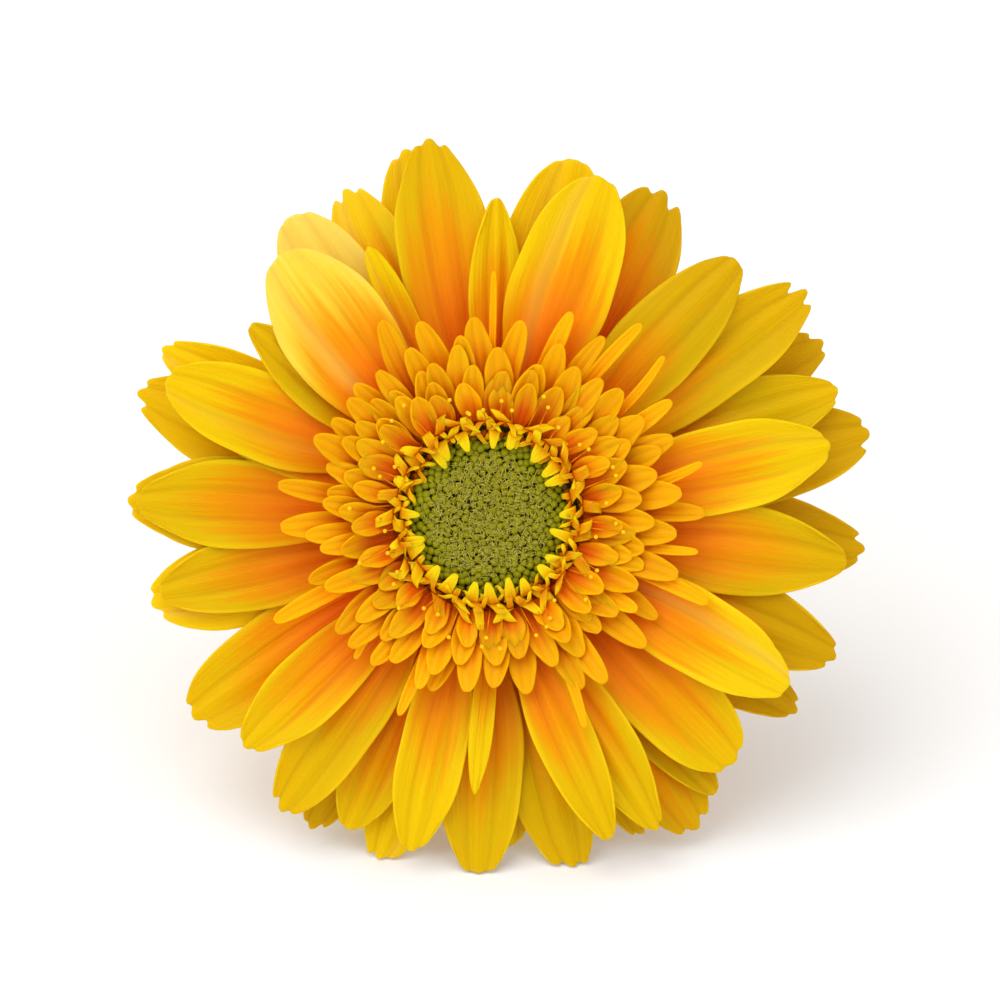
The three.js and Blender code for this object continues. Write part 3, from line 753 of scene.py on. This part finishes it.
# limits of a lip's span, width, height and turn; one with a negative span curls in over the buds
OUTER_LIP = ((1.3, 2.9), (1.2, 2.0), (0.7, 1.5), (110, 250))
INNER_LIP = ((-0.7, -1.7), (0.55, 0.95), (0.6, 1.2), (110, 260))
BOLD_LIP = ((-2.3, -3.4), (1.6, 2.2), (0.9, 1.2), (120, 165))
# directions of the long pointed lips that reach over the disc's rim
BOLD_LIPS = (
    85, 69, 52, 47, 35, 28, 3, -18, -33, -45, -65, -77, -88,
    258, 238, 230, 205, 197, 176, 130, 124, 110,
)
BOLD_RING = 11.7


def lip_shape(chance, limits, direction, foot, level, pointed, twists):
    """A lip that leaves its tube upward and curls over."""
    span, width, height, turn = (chance.uniform(*pair) for pair in limits)
    twist = chance.uniform(*twists)
    sideways = polar(direction + 90, 1.0)

    def shape(along, across):
        angle = math.radians(turn) * along
        rounded = math.sqrt(max(0.0, 1 - (max(0.0, along - 0.62) / 0.42) ** 2.4))
        half = 0.5 * width * (1 - pointed * along ** 1.5) * rounded
        spot = polar(direction + twist * along, foot + span * 0.5 * (1 - math.cos(angle)))
        spot += sideways * (across * half)
        spot.z = level + height * math.sin(angle) - 0.3 * half * across ** 2
        return spot

    return shape


def make_open_florets(finish, shaded_throat):
    """Opened florets, each a tube with one outer and two inner lips; then young tubes and bold lips."""
    chance = random.Random(31)
    outer = new_shape()
    inner = new_shape()
    tubes = new_shape()
    for k in range(OPEN_COUNT):
        direction = 360 * (k + chance.uniform(-0.35, 0.35)) / OPEN_COUNT
        foot = OPEN_RING + STAGGER * (k % 2) + chance.uniform(-0.25, 0.25)
        level = LIP_LEVEL + 0.2 * (k % 2) + chance.uniform(-0.35, 0.45)
        stations = ((foot + 0.25, TUBE_ROOT), (foot + 0.1, 8.0), (foot, level))
        path = [polar(direction, radius, height) for radius, height in stations]
        thread(tubes, path, (0.34, 0.46, 0.62), 7, tone=chance.random())
        shape = lip_shape(chance, OUTER_LIP, direction, foot + 0.1, level, 0.35, (-14, 14))
        strap(outer, 12, 6, shape, tone=chance.random())
        for side in (-1, 1):
            beside = direction + side * 1.7
            shape = lip_shape(chance, INNER_LIP, beside, foot - 0.1, level + 0.2, 0.4, (0, 12 * side))
            strap(inner, 10, 4, shape, tone=chance.random())
    for k in range(YOUNG_COUNT):
        direction = 360 * (k + chance.uniform(-0.2, 0.2)) / YOUNG_COUNT
        path = [polar(direction, YOUNG_RING, height) for height in (TUBE_ROOT, 7.8, 8.5, 8.8)]
        thread(tubes, path, (0.4, 0.56, 0.5, 0.2), 8, tone=chance.random())
    for bold in BOLD_LIPS:
        direction = bold + chance.uniform(-2, 2)
        shape = lip_shape(chance, BOLD_LIP, direction, BOLD_RING, LIP_LEVEL + 0.3, 0.6, (-4, 4))
        strap(inner, 12, 6, shape, tone=0.5 + 0.5 * chance.random())
    # the tubes take the darker finish, painted shade
    make_piece("floret_tubes", tubes, [shaded_throat])
    make_piece("outer_lips", outer, [finish], ["open_florets"], 0.26, 1)
    make_piece("inner_lips", inner, [finish], (), 0.24, 1)


STYLE_COUNT = 44
STYLE_ROOT = 12.3
KNOB_RADIUS = 0.29


def make_styles(finish):
    """Thin styles lean out over the inner florets, each with a small knob at its end."""
    chance = random.Random(43)
    bm = new_shape()
    for k in range(STYLE_COUNT):
        direction = 360 * (k + chance.uniform(-0.4, 0.4)) / STYLE_COUNT
        reach = chance.uniform(13.6, 18.6)
        top = inner_height(reach, 4.6) + chance.uniform(1.0, 1.9)
        root = polar(direction, STYLE_ROOT, LIP_LEVEL - 0.6)
        end = polar(direction + chance.uniform(-4, 4), reach, top)
        middle = root.lerp(end, 0.5) + Vector((0, 0, chance.uniform(0.3, 0.8)))
        thread(bm, [root, middle, end], (0.12, 0.09, 0.08), 5, tone=0.0)
        seat = Matrix.Translation(end)
        knob = bmesh.ops.create_icosphere(bm, subdivisions=2, radius=KNOB_RADIUS, matrix=seat)["verts"]
        for vert in knob:
            vert.co += polar(direction, 0.12 * abs(vert.co.z - end.z))
        note(bm, knob, tone=1.0)
    make_piece("styles", bm, [finish])


# ---- the disc of buds ----------------------------------------------------------------------------------
BUD_SPACING = 0.94
BUD_PACKING = 0.93
GOLDEN_ANGLE = 137.507764
BED = ((0, 8.7), (4, 8.7), (7.5, 8.5), (9.6, 7.8), (10.7, 6.6), (10.7, 5.5), (0, 5.5))   # radius, height
DOWN_COUNT = 3000
DOWN_REACH = 9.4


def disc_height(radius):
    return DISC_TOP - 0.35 - DISC_FALL * (radius / DISC_RADIUS) ** 5


def bed_pattern():
    """The low dome that the buds are set in."""
    bm = new_shape()
    bed = [bm.verts.new((radius, 0, height)) for radius, height in BED]
    edges = [bm.edges.new(pair) for pair in zip(bed, bed[1:])]
    bmesh.ops.spin(bm, geom=bed + edges, cent=(0, 0, 0), axis=(0, 0, 1), dvec=(0, 0, 0),
                   angle=2 * math.pi, steps=40, use_merge=True)
    bmesh.ops.remove_doubles(bm, verts=bm.verts, dist=1e-4)
    # the bed takes the full painted shade between the buds
    note(bm, bm.verts, lift=0.0)
    return pattern_of(bm, "bed_pattern")


def bud_pattern():
    """A closed bud of unit radius: a rounded knob with five lobes meeting at its top."""
    bm = new_shape()
    bmesh.ops.create_uvsphere(bm, u_segments=10, v_segments=6, radius=1.0)
    for vert in bm.verts:
        # how high up the bud a point sits, which sets its painted shade
        vert[bm.verts.layers.float["lift"]] = clamp(0.5 + 0.5 * vert.co.z)
        swell = 1 + 0.13 * max(0.0, vert.co.z) * math.cos(5 * math.atan2(vert.co.y, vert.co.x))
        vert.co = Vector((vert.co.x * swell, vert.co.y * swell, vert.co.z * 1.15))
    return pattern_of(bm, "bud_pattern")


def make_buds(finish):
    chance = random.Random(53)
    bm = new_shape()
    stamp(bm, bed_pattern(), Matrix.Identity(4))
    pattern = bud_pattern()
    count = int((2 * (DISC_RADIUS - 0.1) / (BUD_SPACING * 1.03)) ** 2 * BUD_PACKING)
    for k in range(count):
        radius = (DISC_RADIUS + 0.1) * math.sqrt((k + 0.5) / count) + chance.uniform(-0.14, 0.14)
        direction = k * GOLDEN_ANGLE + chance.uniform(-14.0, 14.0) / max(1.0, radius)
        rimward = smooth(6.5, 10.0, radius)
        size = mix(0.5, 0.6, rimward) * chance.uniform(0.88, 1.1)
        height = disc_height(radius) + chance.uniform(-0.22, 0.14) - 0.1 * rimward
        lean = Matrix.Rotation(chance.uniform(-0.25, 0.25), 4, "X")
        lean = lean @ Matrix.Rotation(chance.uniform(-0.25, 0.25), 4, "Y")
        seat = Matrix.Translation(polar(direction, radius, height)) @ lean
        note(bm, stamp(bm, pattern, seat @ Matrix.Scale(size, 4)), tone=chance.random())
    make_piece("disc_of_buds", bm, [finish], ["disc_buds"])


def make_down(finish):
    """Pale bristles that stand between the buds and lie over them, thickest at the middle."""
    chance = random.Random(61)
    bm = new_shape()
    pattern = hair_pattern(0.07, 0.03)
    for _ in range(DOWN_COUNT):
        radius = DOWN_REACH * math.sqrt(chance.random())
        if chance.random() < smooth(6.8, DOWN_REACH, radius):
            continue
        direction = chance.uniform(0, 360)
        length = chance.uniform(0.5, 1.2)
        lean = Matrix.Rotation(math.radians(chance.uniform(0, 360)), 4, "Z")
        lean = lean @ Matrix.Rotation(math.radians(chance.uniform(25, 88)), 4, "Y")
        root = polar(direction, radius, disc_height(radius) + chance.uniform(0.3, 0.62))
        stamp(bm, pattern, Matrix.Translation(root) @ lean @ Matrix.Diagonal((1, 1, length, 1)))
    note(bm, bm.verts)
    make_piece("disc_down", bm, [finish])


# ---- bracts, receptacle and stem -----------------------------------------------------------------------
# how many, their width, and the radius and height of the points that they pass from root to tip
BRACT_ROWS = {
    "inner": (21, 4.9, ((9.6, -9.0), (12.5, -5.2), (15.9, -3.0), (19.2, -1.9))),
    "middle": (19, 4.7, ((9.7, -11.0), (13.1, -7.3), (16.2, -5.0), (18.0, -4.1))),
    "outer": (16, 4.2, ((4.4, -14.8), (8.4, -13.5), (12.2, -10.4), (15.9, -7.1))),
}
BRACT_THICK = 0.5
NECK_ROOM = 8.0          # inside this radius the bracts of a row share the room round the neck
HAIRS_PER_BRACT = 9


def along_stations(stations, t):
    """The radius and height at 0 to 1 of the way along evenly shared stations."""
    k = clamp(t) * (len(stations) - 1)
    i = min(len(stations) - 2, int(k))
    first, second = stations[i], stations[i + 1]
    return mix(first[0], second[0], k - i), mix(first[1], second[1], k - i)


def bract_shape(direction, width, count, stations, chance):
    """A pointed green bract with a raised midrib that hugs the head."""
    length = chance.uniform(0.88, 1.0)
    tip = chance.uniform(-0.3, 0.5)
    lean = chance.uniform(-1.5, 1.5)
    shift = chance.uniform(-0.15, 0.15)

    def shape(along, across):
        radius, height = along_stations(stations, along * length * (1 - 0.05 * across ** 2))
        spread = mix(0.62, 1.0, math.sin(math.pi * min(1.0, along * 1.25))) * (1 - along ** 2.6) ** 0.75
        half = 0.5 * width * max(spread, 0.04)
        if radius < NECK_ROOM:
            half = min(half, math.pi * radius / count)
        angle = direction + lean * along + math.degrees(across * half / radius)
        spot = polar(angle, radius, height + shift)
        midrib = (1 - abs(across)) ** 2
        spot += (polar(angle, 1.0) * 0.45 + Vector((0, 0, -0.9))) * 0.32 * midrib * (1 - along)
        spot += polar(angle, 1.0) * tip * along ** 3 * 0.6
        return spot

    return shape


def make_bracts(finish, down):
    chance = random.Random(71)
    pattern = hair_pattern(0.045, 0.01)
    hairs = new_shape()
    for row, (count, width, stations) in BRACT_ROWS.items():
        bm = new_shape()
        for k in range(count):
            direction = 360 * (k + chance.uniform(-0.12, 0.12)) / count + len(row) * 17
            shape = bract_shape(direction, width * chance.uniform(0.9, 1.1), count, stations, chance)
            strap(bm, 14, 8, shape, tone=chance.random())
            for _ in range(HAIRS_PER_BRACT):
                spot = shape(chance.uniform(0.1, 0.95), chance.uniform(-0.9, 0.9))
                outward = polar(direction + chance.uniform(-40, 40), 0.6)
                outward = outward + Vector((0, 0, chance.uniform(-1.1, -0.2)))
                stamp(hairs, pattern, standing(spot, outward, chance.uniform(1.0, 2.0)))
        make_piece("bracts_" + row + "_row", bm, [finish], ["bracts_" + row], BRACT_THICK, 1)
    note(hairs, hairs.verts)
    make_piece("bract_hairs", hairs, [down])


STEM_TOP_RADIUS = 2.5
STEM_END_RADIUS = 3.2
NECK_START = 14.8        # behind the rays' level
NECK_LENGTH = 10.0
NECK_FLARE = 0.6
LYING_LENGTH = 30.0
BORE_RADIUS = 1.1
BORE_DEPTH = 6.0
STEM_RINGS = 56
STEM_SIDES = 40
RIBS = 9
RIB_HEIGHT = 0.022       # as a part of the radius
CUT_RINGS = 4            # the last rings, square to the lying stretch
RIM_STEP = 0.001         # how closely the rings of the cut follow each other
CUT_DEPTH = 0.12         # faces this near the cut are pith
PITH_RADIUS = 1.4        # and so are those this near the line of the hollow
STEM_HAIRS = 420
HAIR_CLEARANCE = 0.9     # no hair under this height


def stem_route(steps):
    """Points in the row frame's own millimetres: straight neck, one bow, then flat; and the stem's length."""
    start = HEART / MM - FACE * NECK_START
    bow_start = start - FACE * NECK_LENGTH
    bow_radius = (bow_start.z - STEM_END_RADIUS) / (1 - math.cos(TILT))
    bow_length = bow_radius * TILT
    length = NECK_LENGTH + bow_length + LYING_LENGTH
    route = []
    for i in range(steps + 1):
        distance = length * i / steps
        if distance <= NECK_LENGTH:
            route.append((start - FACE * distance, distance))
            continue
        bowed = min(bow_length, distance - NECK_LENGTH)
        angle = -TILT + bowed / bow_radius
        flat = max(0.0, distance - NECK_LENGTH - bow_length)
        ahead = bow_radius * (math.sin(angle) + math.sin(TILT)) + flat
        drop = bow_radius * (math.cos(angle) - math.cos(TILT))
        route.append((bow_start + Vector((0, ahead, -drop)), distance))
    return route, length


def stem_radius(distance, length):
    collar = NECK_FLARE * (1 - smooth(0, NECK_LENGTH, distance))
    return mix(STEM_TOP_RADIUS, STEM_END_RADIUS, smooth(0, 0.75 * length, distance)) + collar


def make_stem(finish, pith, down):
    """The stalk with its cut and its hollow, and its fine hairs, thickest near the head."""
    chance = random.Random(83)
    route, length = stem_route(STEM_RINGS)
    bm = new_shape()
    path = [point for point, _ in route]
    radii = [stem_radius(distance, length) for _, distance in route]
    path += [path[-1] + Vector((0, RIM_STEP, 0)), path[-1] + Vector((0, 2 * RIM_STEP, 0))]
    radii += [radii[-1] * 0.93, BORE_RADIUS]
    path.append(path[-1] - Vector((0, BORE_DEPTH, 0)))
    radii.append(BORE_RADIUS)
    make_hollow_rod(bm, path, radii, STEM_SIDES)
    for vert in bm.verts:
        vert.co = vert.co * MM
    stem = make_piece("stem_stalk", bm, [finish, pith], ["stem"], seated=False)
    for face in stem.data.polygons:
        middle = face.center / MM
        off_line = math.hypot(middle.x - path[0].x, middle.z - path[-1].z)
        if abs(middle.y - path[-2].y) < CUT_DEPTH or off_line < PITH_RADIUS:
            face.material_index = 1
    hairs = new_shape()
    pattern = hair_pattern(0.04, 0.01)
    for _ in range(STEM_HAIRS):
        at = int(len(route) * chance.random() ** 1.7)
        point, distance = route[at]
        ahead = (route[min(at + 1, len(route) - 1)][0] - route[max(at - 1, 0)][0]).normalized()
        turn = ahead.to_track_quat("Z", "Y").to_matrix()
        angle = chance.uniform(0, 2 * math.pi)
        outward = turn @ Vector((math.cos(angle), math.sin(angle), chance.uniform(-0.3, 0.5)))
        spot = point + outward * stem_radius(distance, length) + outward * 0.25
        if spot.z < HAIR_CLEARANCE:
            continue
        stamp(hairs, pattern, standing(spot, outward, chance.uniform(0.6, 1.2)))
    for vert in hairs.verts:
        vert.co = vert.co * MM
    make_piece("stem_hairs", hairs, [down], seated=False)


def make_hollow_rod(bm, path, radii, sides):
    """The stem drawn ring by ring from the neck to the cut, then back into its hollow."""
    ring = bmesh.ops.create_circle(bm, cap_ends=True, segments=sides, radius=1.0)["verts"]
    edges = list({e for v in ring for e in v.link_edges})
    angles = {v: 2 * math.pi * i / sides for i, v in enumerate(sorted_ring(ring))}
    for index, (point, radius) in enumerate(zip(path, radii)):
        if index:
            made = bmesh.ops.extrude_edge_only(bm, edges=edges)["geom"]
            fresh = {g for g in made if isinstance(g, bmesh.types.BMVert)}
            edges = [g for g in made if isinstance(g, bmesh.types.BMEdge) and set(g.verts) <= fresh]
            angles = {v: next(angles[e.other_vert(v)] for e in v.link_edges if e.other_vert(v) in angles)
                      for v in fresh}
        after = path[min(index + 1, len(path) - 1)]
        before = path[max(index - 1, 0)]
        ahead = Vector((0, 1, 0)) if index >= len(path) - CUT_RINGS else (after - before).normalized()
        across = ahead.cross(RIGHT).normalized()
        ribbed = index < len(path) - 2
        for vert, angle in angles.items():
            swell = radius * (1 + (RIB_HEIGHT * math.cos(RIBS * angle) if ribbed else 0))
            vert.co = point + (RIGHT * math.cos(angle) + across * math.sin(angle)) * swell
    bmesh.ops.contextual_create(bm, geom=edges)
    note(bm, bm.verts)


# ---- surface, light and camera -------------------------------------------------------------------------
SURFACE_REACH = 4.0
SKY_STRENGTH = 0.76
CAMERA_DISTANCE = 0.598
LENS = 160.0
FRAME_CENTRE = (1.6, 2.15, 6.0)   # head point that the camera looks at


def aim(item, target):
    item.rotation_mode = "QUATERNION"
    item.rotation_quaternion = (target - item.location).to_track_quat("-Z", "Y")


def add_panel(name, right, up, face, width, power, colour=(1, 1, 1)):
    """A soft square light at this distance from the head, in metres along its own directions."""
    light = bpy.data.lights.new(name, "AREA")
    light.shape = "SQUARE"
    light.size = width
    light.energy = power
    light.color = colour
    lamp = bpy.data.objects.new(name, light)
    lamp.location = HEART + RIGHT * right + UP * up + FACE * face
    aim(lamp, HEART)
    bpy.context.scene.collection.objects.link(lamp)


def make_studio():
    bm = bmesh.new()
    bmesh.ops.create_grid(bm, x_segments=4, y_segments=4, size=SURFACE_REACH)
    mesh = bpy.data.meshes.new("surface")
    bm.to_mesh(mesh)
    bm.free()
    mesh.materials.append(surface_finish())
    surface = bpy.data.objects.new("surface", mesh)
    bpy.context.scene.collection.objects.link(surface)

    add_panel("key", right=-0.4, up=0.66, face=0.72, width=1.0, power=6.2, colour=(1.0, 0.98, 0.95))
    add_panel("fill", right=0.7, up=0.3, face=0.8, width=0.9, power=1.4)

    world = bpy.data.worlds.new("studio")
    world.use_nodes = True
    sky = world.node_tree.nodes["Background"]
    sky.inputs["Color"].default_value = (1.0, 1.0, 1.0, 1.0)
    sky.inputs["Strength"].default_value = SKY_STRENGTH
    bpy.context.scene.world = world
    bpy.context.scene.view_settings.view_transform = "Standard"


def make_camera():
    target = HEART + (RIGHT * FRAME_CENTRE[0] + UP * FRAME_CENTRE[1] + FACE * FRAME_CENTRE[2]) * MM
    camera = bpy.data.cameras.new("camera")
    camera.lens = LENS
    camera.sensor_width = 36.0
    camera.clip_start = 0.01
    eye = bpy.data.objects.new("camera", camera)
    eye.location = target + FACE * CAMERA_DISTANCE
    aim(eye, target)
    bpy.context.scene.collection.objects.link(eye)
    bpy.context.scene.camera = eye


make_camera()
make_studio()

stem_green = green_finish()
disc_hair = down_finish("gerbera_disc_down", tint(192, 184, 46), tint(222, 214, 104))
green_hair = down_finish("gerbera_green_down", tint(196, 206, 160), tint(226, 232, 204))
make_rays(ray_finish())
# the florets' deep orange base is partly their own colour and partly painted shade where the bases lie under
# the florets above
make_inner_florets(floret_finish("gerbera_floret", tint(228, 90, 2), tint(240, 138, 0), tint(242, 178, 0)))
lip_finish = floret_finish("gerbera_lip", tint(228, 132, 0), tint(246, 196, 0), tint(250, 212, 14))
# the tubes are painted a darker orange than the lips: painted shade deep between the lips
shaded_throat_finish = floret_finish("gerbera_throat_painted_shade", tint(196, 92, 0), tint(206, 118, 0), tint(222, 146, 0))
make_open_florets(lip_finish, shaded_throat_finish)
make_styles(style_finish())
make_buds(bud_finish())
make_down(disc_hair)
make_bracts(bract_finish(), green_hair)
make_stem(stem_green, pith_finish(), green_hair)

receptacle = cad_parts["receptacle"]
receptacle.data.materials.clear()
receptacle.data.materials.append(stem_green)
